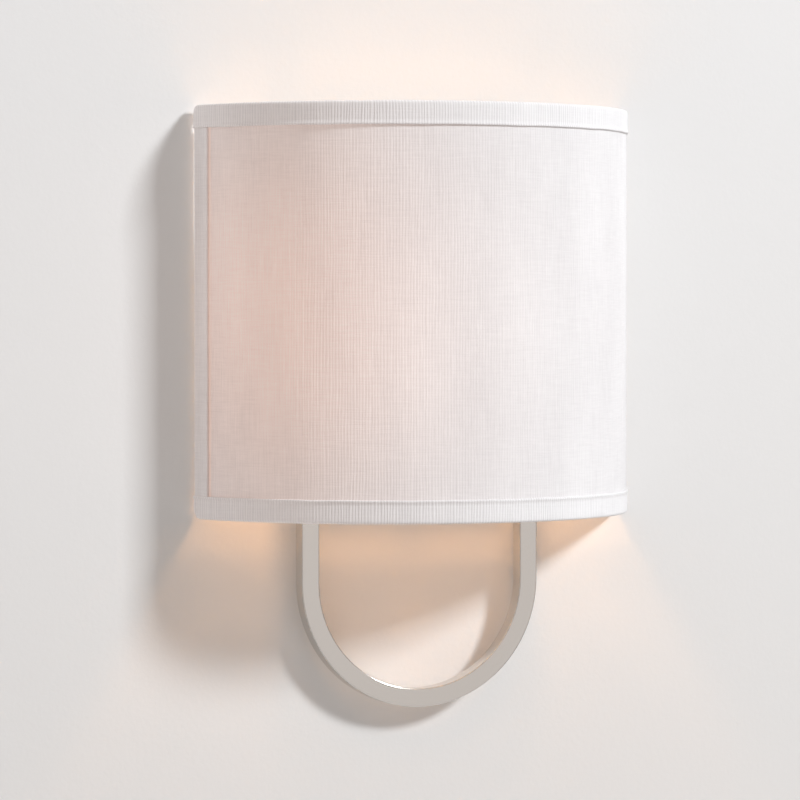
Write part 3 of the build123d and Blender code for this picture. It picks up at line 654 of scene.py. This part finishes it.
def glassFinish(hotLevel, height):
    # frosted glass round a lit filament: pale beside it, amber towards both ends
    finish = Finish("bulb glass")
    _, _, level = finish.split(finish.point)
    frost = finish.noise(finish.point, 1600.0, 3.0, 0.6)
    away = (level - hotLevel).op("ABSOLUTE") / height
    tint = finish.ramp(away, [(0.0, (1.0, 0.80, 0.52)), (0.22, (1.0, 0.66, 0.34)),
                              (0.6, (0.72, 0.36, 0.13))])
    finish.feed(Base_Color=finish.blend(frost, (0.90, 0.85, 0.78, 1), (0.97, 0.93, 0.88, 1)),
                Roughness=finish.spread(frost, 0.22, 0.36), Emission_Color=tint, Emission_Strength=1.15,
                Alpha=finish.spread(frost, 0.66, 0.74), Normal=finish.bump(frost, 0.008 * mm))
    return finish.material


def stemFinish():
    # clear glass with fine seeds
    finish = Finish("stem glass")
    seeds = finish.noise(finish.point, 700.0, 2.0, 0.5)
    finish.feed(Base_Color=finish.blend(seeds, (0.80, 0.83, 0.82, 1), (0.92, 0.94, 0.93, 1)),
                Roughness=finish.spread(seeds, 0.05, 0.12), Coat_Weight=0.5, Alpha=0.5)
    return finish.material


def filamentFinish(hotLevel):
    # drawn wire, white hot at its coil and dark on its supports
    finish = Finish("filament wire")
    _, _, level = finish.split(finish.point)
    grain = finish.noise(finish.point, 4000.0, 2.0, 0.5)
    hot = finish.remap(level, hotLevel - 1 * mm, hotLevel + 3 * mm)
    finish.feed(Base_Color=finish.blend(grain, (0.40, 0.36, 0.32, 1), (0.55, 0.51, 0.46, 1)), Metallic=1.0,
                Roughness=finish.spread(grain, 0.35, 0.5),
                Emission_Color=finish.blend(hot, (0.10, 0.04, 0.01, 1), (1.0, 0.72, 0.40, 1)),
                Emission_Strength=4.0)
    return finish.material


hotLevel = lampPlaces["left"].z
glassLow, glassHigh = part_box("bulb_left_glass")
finishes = {
    "shade_lining": liningFinish(),
    "frame_wire": moulded("frame wire", (0.78, 0.775, 0.76), 0.32, 0.3),
    "polished_nickel": metal("polished nickel", (0.70, 0.682, 0.655), 0.15, (1.0, 1.0, 0.06)),
    "plate_nickel": metal("plate nickel", (0.66, 0.625, 0.58), 0.34, (0.05, 1.0, 1.0)),
    "zinc_steel": metal("zinc steel", (0.60, 0.62, 0.65), 0.36, smudge=0.2, fineness=500.0),
    "green_screw": metal("green screw", (0.05, 0.30, 0.12), 0.35, smudge=0.15),
    "phenolic": moulded("phenolic", (0.028, 0.024, 0.022), 0.32, 0.2),
    "brass": metal("brass", (0.76, 0.53, 0.22), 0.26, (1.0, 1.0, 0.1), smudge=0.2),
    "bulb_glass": glassFinish(hotLevel, glassHigh.z - glassLow.z),
    "bulb_metal": metal("bulb metal", (0.66, 0.64, 0.60), 0.28, (0.1, 0.1, 1.0), smudge=0.15),
    "bulb_black_glass": moulded("bulb black glass", (0.018, 0.018, 0.022), 0.12, 0.6),
    "solder": metal("solder", (0.52, 0.52, 0.54), 0.42, smudge=0.25, fineness=300.0),
    "stem_glass": stemFinish(),
    "filament_wire": filamentFinish(hotLevel),
    "black_insulation": moulded("black insulation", (0.028, 0.028, 0.03), 0.42),
    "white_insulation": moulded("white insulation", (0.76, 0.75, 0.71), 0.42),
    "green_insulation": moulded("green insulation", (0.04, 0.27, 0.09), 0.42),
    "bushing_black": moulded("bushing", (0.032, 0.032, 0.034), 0.48),
    "wire_nut_orange": moulded("wire nut", (0.74, 0.24, 0.045), 0.38, 0.15),
}
plainNodes = []
for name, node in nodes.items():
    slotName = node.data.materials[0].name if node.data.materials else ""
    found = [key for key in finishes if slotName.startswith(key)]
    if found:
        node.data.materials[0] = finishes[found[0]]
    elif not node.hide_render:
        plainNodes.append(name)
print("finishes set; nodes without one:", plainNodes)

bar = {
    "edge": 0.5 * mm,            # the rounding of its four edges
    "edgeSteps": 3,
    "arcSteps": 120,
}


def squareBar():
    # a square bar that follows its source line
    tree = ShapeTree("square bar", ("Size",))
    path = tree.add("GeometryNodeMeshToCurve", inputs={"Mesh": tree["Source"]})
    section = tree.add("GeometryNodeCurvePrimitiveQuadrilateral", inputs={"Width": tree["Size"],
                                                                          "Height": tree["Size"]})
    tree.close(tree.sweep(path, section))
    return tree


barLow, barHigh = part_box("loop_bar")
barSize = barHigh.y - barLow.y
middleRadius = (barHigh.x - barLow.x - barSize) / 2
arcLevel = barLow.z + middleRadius + barSize / 2
barDepth = (barLow.y + barHigh.y) / 2
barLine = [Vector((-middleRadius, barDepth, barHigh.z)), Vector((-middleRadius, barDepth, shadeBottom))]
for k in range(bar["arcSteps"] + 1):
    turn = math.pi * k / bar["arcSteps"]
    across, drop = middleRadius * math.cos(turn), middleRadius * math.sin(turn)
    barLine.append(Vector((-across, barDepth, arcLevel - drop)))
barLine += [Vector((middleRadius, barDepth, shadeBottom)), Vector((middleRadius, barDepth, barHigh.z))]
nickel = finishes["polished_nickel"]
barMesh = squareBar().grow("loop bar", lineMesh(barLine), nickel, Size=barSize)
outward(barMesh)
smoothShade(barMesh)
loopBar = newPiece("loopBar", barMesh, nickel, "fixture", "loop_bar")
rounding = loopBar.modifiers.new("rounded edges", "BEVEL")
rounding.width = bar["edge"]
rounding.segments = bar["edgeSteps"]
rounding.harden_normals = True
rounding.limit_method = "ANGLE"
rounding.angle_limit = math.radians(40)
print("loop bar bent")


def turnedShape():
    # turns a source line about Z. A point's x is its radius and z its level, and its y, from 0 to 1, is
    # how deep thread and flutes cut into it.
    tree = ShapeTree("turned shape", ("Thread Pitch", "Thread Depth", "Flute Depth"),
                     ("Points", "Steps", "Flutes"))
    index = tree.add("GeometryNodeInputIndex")
    ring = ((index + 0.5) / tree["Points"]).op("FLOOR")
    row = index - ring * tree["Points"]
    position = tree.add("GeometryNodeInputPosition")
    sampled = tree.add("GeometryNodeSampleIndex", {"data_type": "FLOAT_VECTOR"},
                       {"Geometry": tree["Source"], "Value": position, "Index": row})
    radius, cut, level = tree.split(sampled)
    angle = ring * fullTurn / tree["Steps"]
    thread = (level * fullTurn / tree["Thread Pitch"] - angle).op("COSINE") * -0.5 + 0.5
    flute = ((angle * tree["Flutes"]).op("COSINE") * 0.5 + 0.5).op("POWER", 2.0)
    radius = radius - cut * (thread * tree["Thread Depth"] + flute * tree["Flute Depth"])
    place = tree.vector(radius * angle.op("COSINE"), radius * angle.op("SINE"), level)
    turned = tree.moved(tree.grid(tree["Steps"] + 1.0, tree["Points"]), Position=place)
    tree.close(tree.add("GeometryNodeMergeByDistance", inputs={"Geometry": turned, "Distance": 1e-6}))
    return tree


turning = turnedShape()


def turnPiece(name, outline, finish, steps, threadPitch=1.0, threadDepth=0.0, flutes=0, fluteDepth=0.0,
              sharpAbove=None):
    # outline: (radius, level) or (radius, level, cut), a closed run of points
    points = [(p[0], p[2] if len(p) > 2 else 0.0, p[1]) for p in outline]
    points.append(points[0])
    mesh = turning.grow(name, lineMesh(points), finish, Points=len(points), Steps=steps, Flutes=flutes,
                        Thread_Pitch=threadPitch, Thread_Depth=threadDepth, Flute_Depth=fluteDepth)
    outward(mesh)
    smoothShade(mesh, sharpAbove)
    return mesh


bulb = {
    "neck": 5.4 * mm,
    "bellyShare": 0.38,          # of the glass above the base, up to the widest place
    "tip": 1.3 * mm,
    "wall": 0.8 * mm,
    "glassSteps": 72,
}
cap = {
    "hole": 3.5 * mm,
    "radius": 6.0 * mm,
    "bore": 5.5 * mm,
    "floor": 0.5 * mm,
    "steps": 48,
    "threadStart": 1.6 * mm,     # above the floor
    "threadLength": 11.4 * mm,
    "threadRows": 44,
    "fadeRows": 5,               # where the thread runs in and out
    "threadPitch": 2.54 * mm,
    "threadDepth": 0.42 * mm,
}
coil = {
    "wire": 0.16 * mm,
    "radius": 0.42 * mm,
    "turns": 13.0,
    "pointsPerTurn": 12,
    "drop": 0.55 * mm,           # from the top of the filament's box to the coil's middle
    "foot": 1.3 * mm,            # the supports' feet, from the middle
    "footRise": 0.3 * mm,
    "headDrop": 0.4 * mm,
}


def candleOutline(belly, low, baseTop, top, shrink):
    # the candle's half outline from its foot up to the axis
    neck = bulb["neck"] - shrink
    tip = bulb["tip"]
    bellyLevel = baseTop + (top - baseTop) * bulb["bellyShare"]
    rise = bellyLevel - baseTop
    drawn = top - shrink * 1.5 - bellyLevel
    wide = belly - shrink
    lower = interpolate_bezier((neck, 0, baseTop), (neck + rise * 0.18, 0, baseTop + rise * 0.30),
                               (wide, 0, bellyLevel - rise * 0.42), (wide, 0, bellyLevel), 16)
    upper = interpolate_bezier((wide, 0, bellyLevel), (wide, 0, bellyLevel + drawn * 0.36),
                               (tip + drawn * 0.13, 0, bellyLevel + drawn * 0.70),
                               (tip, 0, bellyLevel + drawn * 0.975), 24)
    points = [(neck * 0.55, low + shrink), (neck, low + shrink + 0.6 * mm)]
    points += [(p.x, p.z) for p in lower] + [(p.x, p.z) for p in upper[1:]]
    return points + [(tip * 0.6, bellyLevel + drawn * 0.993), (0.0, bellyLevel + drawn)]


def threadedCap(low, high):
    # a screw cap: a floor with a hole, rolled thread, a plain collar and the inner wall
    radius, rows, fadeRows = cap["radius"], cap["threadRows"], cap["fadeRows"]
    outline = [(cap["hole"], low), (5.2 * mm, low), (5.75 * mm, low + 0.35 * mm), (radius, low + 1.0 * mm)]
    for k in range(rows + 1):
        level = low + cap["threadStart"] + cap["threadLength"] * k / rows
        outline.append((radius, level, min(1.0, k / fadeRows, (rows - k) / fadeRows)))
    outline += [(radius, low + 14.2 * mm), (5.86 * mm, high - 1.2 * mm), (5.95 * mm, high - 0.5 * mm),
                (5.9 * mm, high), (cap["bore"], high), (cap["bore"], low + cap["floor"]),
                (cap["hole"], low + cap["floor"])]
    return outline


def filamentShape():
    # a coiled wire between the tops of its two supports
    tree = ShapeTree("coiled filament", ("Width", "Level", "Wire Radius", "Coil Radius", "Turns"),
                     ("Points",))
    half = tree["Width"] * 0.5
    start = tree.vector(half * -1.0, 0.0, tree["Level"])
    end = tree.vector(half, 0.0, tree["Level"])
    line = tree.add("GeometryNodeCurvePrimitiveLine", inputs={"Start": start, "End": end})
    fine = tree.add("GeometryNodeResampleCurve", inputs={"Curve": line, "Count": tree["Points"]})
    turn = tree.add("GeometryNodeSplineParameter") * fullTurn * tree["Turns"]
    sway = tree.vector(0.0, turn.op("SINE") * tree["Coil Radius"], turn.op("COSINE") * tree["Coil Radius"])
    coiled = tree.moved(fine, Offset=sway)
    supports = tree.add("GeometryNodeMeshToCurve", inputs={"Mesh": tree["Source"]})
    thick = tree.sweep(supports, tree.ring(tree["Wire Radius"] * 1.7, 8))
    thin = tree.sweep(coiled, tree.ring(tree["Wire Radius"], 6))
    both = tree.tree.nodes.new("GeometryNodeJoinGeometry")
    for part in (thick, thin):
        tree.connect(both.inputs[0], part)
    tree.close(Signal(tree, both.outputs[0]))
    return tree


def supportMesh(half, low, high):
    # two bent wires from the stem up to the coil's ends
    points = []
    for side in (-1, 1):
        points += [(side * coil["foot"], 0, low + coil["footRise"]),
                   (side * half * 0.8, 0, (low + high) / 2),
                   (side * half, 0, high - coil["headDrop"])]
    mesh = bpy.data.meshes.new("supports")
    mesh.from_pydata(points, [(0, 1), (1, 2), (3, 4), (4, 5)], [])
    return mesh


coiling = filamentShape()
for sideName in ("left", "right"):
    body = "bulb_" + sideName
    label = sideName.title()
    glassLow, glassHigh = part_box(body + "_glass")
    capLow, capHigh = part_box(body + "_base")
    wireLow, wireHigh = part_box(body + "_filament")
    middle = (glassLow + glassHigh) / 2
    place = Matrix.Translation((middle.x, middle.y, 0))
    belly = (glassHigh.x - glassLow.x) / 2
    outer = candleOutline(belly, glassLow.z, capHigh.z, glassHigh.z, 0.0)
    inner = candleOutline(belly, glassLow.z, capHigh.z, glassHigh.z, bulb["wall"])
    glassMesh = turnPiece("bulb glass", outer + inner[::-1], finishes["bulb_glass"], bulb["glassSteps"])
    capMesh = turnPiece("bulb cap", threadedCap(capLow.z, capHigh.z), finishes["bulb_metal"], cap["steps"],
                        cap["threadPitch"], cap["threadDepth"], sharpAbove=50)
    half = (wireHigh.x - wireLow.x) / 2 - 0.5 * mm
    wireMesh = coiling.grow("filament", supportMesh(half, wireLow.z, wireHigh.z), finishes["filament_wire"],
                            Width=half * 2, Level=wireHigh.z - coil["drop"], Wire_Radius=coil["wire"],
                            Coil_Radius=coil["radius"], Turns=coil["turns"],
                            Points=int(coil["turns"] * coil["pointsPerTurn"]))
    outward(wireMesh)
    smoothShade(wireMesh, 60)
    for mesh in (glassMesh, capMesh, wireMesh):
        mesh.transform(place)
    glass = newPiece("bulbGlass" + label, glassMesh, finishes["bulb_glass"], body,
                     body + "_glass")
    glass.visible_shadow = False
    newPiece("bulbCap" + label, capMesh, finishes["bulb_metal"], body, body + "_base")
    newPiece("filament" + label, wireMesh, finishes["filament_wire"], body,
             body + "_filament")
print("bulbs turned")

thumbNut = {
    "flutes": 30,
    "fluteDepth": 0.42 * mm,
    "stepsPerFlute": 6,
    "bore": 2.05 * mm,
    "collar": 4.4 * mm,
    "collarHeight": 1.4 * mm,
}


def nutOutline(radius, height):
    # from the collar by the tab to the domed front, around a plain bore; the third number is the knurl's
    bore, collar, step = thumbNut["bore"], thumbNut["collar"], thumbNut["collarHeight"]
    return [(bore + 0.25 * mm, 0.0), (collar - 0.2 * mm, 0.0), (collar, 0.25 * mm), (collar, step),
            (radius - 0.5 * mm, 1.55 * mm), (radius, 2.0 * mm, 0.4), (radius, 2.4 * mm, 1.0),
            (radius, height - 1.3 * mm, 1.0), (radius - 0.12 * mm, height - 0.9 * mm, 0.5),
            (radius - 0.6 * mm, height - 0.45 * mm), (radius - 1.4 * mm, height - 0.15 * mm),
            (bore + 0.9 * mm, height), (bore + 0.3 * mm, height), (bore, height - 0.3 * mm),
            (bore, 0.3 * mm)]


for sideName in ("left", "right"):
    body = "thumb_nut_" + sideName
    low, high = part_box(body)
    mesh = turnPiece("thumb nut", nutOutline((high.z - low.z) / 2, high.y - low.y), nickel,
                     thumbNut["flutes"] * thumbNut["stepsPerFlute"], flutes=thumbNut["flutes"],
                     fluteDepth=thumbNut["fluteDepth"], sharpAbove=40)
    # its foot is against the tab and its front faces -Y
    mesh.transform(Matrix.Translation(((low.x + high.x) / 2, high.y, (low.z + high.z) / 2))
                   @ Matrix.Rotation(math.pi / 2, 4, "X"))
    newPiece("thumbNut" + sideName.title(), mesh, nickel, body, body)

wireNut = {
    "flutes": 14,
    "fluteDepth": 0.45 * mm,
    "steps": 84,
    "coneRows": 8,
    "mouth": 4.4 * mm,
    "tip": 2.8 * mm,
    "bore": 2.75 * mm,
    "boreDepth": 12.0 * mm,
}


def wireNutOutline(height):
    # a plain skirt, a fluted cone, a rounded tip and the bore with its pointed end
    mouth, tip, bore, depth = (wireNut[key] for key in ("mouth", "tip", "bore", "boreDepth"))
    outline = [(bore, 0.2 * mm), (bore + 0.3 * mm, 0.0), (mouth - 0.3 * mm, 0.0), (mouth, 0.4 * mm),
               (mouth, 2.2 * mm), (mouth - 0.35 * mm, 2.8 * mm)]
    coneFoot = mouth - 0.3 * mm
    for k in range(wireNut["coneRows"] + 1):
        share = k / wireNut["coneRows"]
        cut = min(1.0, share * 4, (1 - share) * 4)
        outline.append((coneFoot + (tip - coneFoot) * share, 3.2 * mm + (height - 4.4 * mm) * share, cut))
    outline += [(tip - 0.3 * mm, height - 0.5 * mm), (tip * 0.6, height - 0.08 * mm), (0.0, height),
                (0.0, depth + 1.0 * mm), (bore * 0.9, depth)]
    return outline


# The black leads' nut stands to the right and nearer the wall, the white leads' one to the left.
low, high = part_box("wire_nuts")
nutMesh = turnPiece("wire nut", wireNutOutline(high.z - low.z), finishes["wire_nut_orange"],
                    wireNut["steps"], flutes=wireNut["flutes"], fluteDepth=wireNut["fluteDepth"],
                    sharpAbove=40)
reach = wireNut["mouth"]
pair = bmesh.new()
for x, y in ((low.x + reach, low.y + reach), (high.x - reach, high.y - reach)):
    single = nutMesh.copy()
    single.transform(Matrix.Translation((x, y, low.z)))
    pair.from_mesh(single)
pairMesh = bpy.data.meshes.new("wire nuts")
pair.to_mesh(pairMesh)
pair.free()
newPiece("wireNuts", pairMesh, finishes["wire_nut_orange"], "fixture", "wire_nuts")
print("nuts turned")

stage = {
    "halfWidth": 3.0,
    "wallTop": 2.2,
    "floorLevel": -2.2,
    "floorDepth": 4.0,
    "wallColour": (0.825, 0.82, 0.815, 1),
    "lowerColour": (0.765, 0.75, 0.735, 1),
    "lowerEnd": -0.30,           # the levels between which painted shade darkens the wall downwards
    "upperStart": 0.20,
    "plasterGrain": 300.0,
    "plasterBump": 0.10 * mm,
    "keySize": 0.76,
    "keyPower": 202.0,
    "keyColour": (0.97, 1.0, 1.03),
    "keyWay": (0.93, -1.0, 0.80),
    "keyDistance": 5.0,
    "backSize": 2.0,
    "backPower": 26.0,
    "backWay": (-0.5, 1.0, 0.4),
    "backDistance": 2.5,
    "fillColour": (1.0, 0.935, 0.90, 1),
    "fillLeft": 0.63,
    "fillRight": 0.10,
    "panelWay": (0.375, -0.927, 0.0),     # a pale panel that the front of the bar mirrors
    "panelLight": 0.58,
    "panelSpread": 0.045,
}


def plainSheet(name, corners, material):
    mesh = bpy.data.meshes.new(name)
    mesh.from_pydata(corners, [], [(0, 1, 2, 3)])
    sheet = bpy.data.objects.new(name, mesh)
    bpy.context.scene.collection.objects.link(sheet)
    mesh.materials.append(material)
    return sheet


def plaster(name, oneSided):
    finish = Finish(name)
    _, _, level = finish.split(finish.point)
    soft = finish.noise(finish.point, stage["plasterGrain"], 4.0, 0.6)
    # painted shade: darker towards the bottom, in place of the key light falling off; the floor, far below,
    # takes the shaded colour
    paintedLight = finish.remap(level + (soft - 0.5) * 0.05, stage["lowerEnd"], stage["upperStart"])
    finish.feed(Base_Color=finish.blend(paintedLight, stage["lowerColour"], stage["wallColour"]), Roughness=0.85,
                Specular_IOR_Level=0.2, Normal=finish.bump(soft, stage["plasterBump"]))
    if oneSided:
        # seen from behind, the wall lets the view through
        back = finish.add("ShaderNodeNewGeometry", output="Backfacing")
        clear = finish.add("ShaderNodeBsdfTransparent")
        solid = Signal(finish, finish.shader.outputs[0])
        seen = finish.add("ShaderNodeMixShader", inputs={0: back, 1: solid, 2: clear})
        finish.connect(finish.tree.nodes["Material Output"].inputs["Surface"], seen)
    return finish.material


wide, deep = stage["halfWidth"], stage["floorDepth"]
down, top = stage["floorLevel"], stage["wallTop"]
wallSheet = plainSheet("wallBackdrop", [(-wide, 0, down), (wide, 0, down), (wide, 0, top), (-wide, 0, top)],
                       plaster("pale wall", True))
wallSheet.visible_shadow = False
plainSheet("floor", [(-wide, -deep, down), (wide, -deep, down), (wide, deep, down), (-wide, deep, down)],
           plaster("pale floor", False))


def areaLight(name, way, distance, size, power, colour=(1, 1, 1)):
    light = bpy.data.lights.new(name, "AREA")
    light.shape = "SQUARE"
    light.size = size
    light.energy = power
    light.color = colour
    holder = bpy.data.objects.new(name, light)
    way = Vector(way).normalized()
    holder.location = way * distance
    holder.rotation_mode = "QUATERNION"
    holder.rotation_quaternion = way.to_track_quat("Z", "Y")
    holder.visible_camera = False
    bpy.context.scene.collection.objects.link(holder)


areaLight("key light", stage["keyWay"], stage["keyDistance"], stage["keySize"], stage["keyPower"],
          stage["keyColour"])
areaLight("back light", stage["backWay"], stage["backDistance"], stage["backSize"], stage["backPower"])

# Soft light from all round, stronger on the left, with the panel's light added.
world = bpy.data.worlds.new("studio")
bpy.context.scene.world = world
world.use_nodes = True
sky = Graph(world.node_tree)
way = sky.add("ShaderNodeTexCoord", output="Generated")
wayAcross, _, _ = sky.split(way)
fill = sky.remap(wayAcross, -1.0, 1.0, stage["fillLeft"], stage["fillRight"])
facing = sky.add("ShaderNodeVectorMath", {"operation": "DOT_PRODUCT"}, {0: way, 1: stage["panelWay"]},
                 output="Value")
panel = ((facing - 1.0) / stage["panelSpread"]).op("EXPONENT") * stage["panelLight"]
background = world.node_tree.nodes["Background"]
sky.connect(background.inputs["Color"], stage["fillColour"])
sky.connect(background.inputs["Strength"], fill + panel)

view = {
    "lens": 179.9,
    "sensor": 36.0,
    "place": (-0.8319, -2.0409, 0.0061),
    "aim": (0.01195, 0.0445, -0.04965),
}
cameraData = bpy.data.cameras.new("camera")
cameraData.lens = view["lens"]
cameraData.sensor_width = view["sensor"]
camera = bpy.data.objects.new("camera", cameraData)
bpy.context.scene.collection.objects.link(camera)
camera.location = view["place"]
camera.rotation_mode = "QUATERNION"
camera.rotation_quaternion = (Vector(view["aim"]) - camera.location).to_track_quat("-Z", "Y")
bpy.context.scene.camera = camera
bpy.context.scene.view_settings.view_transform = "Standard"
print("stage set")
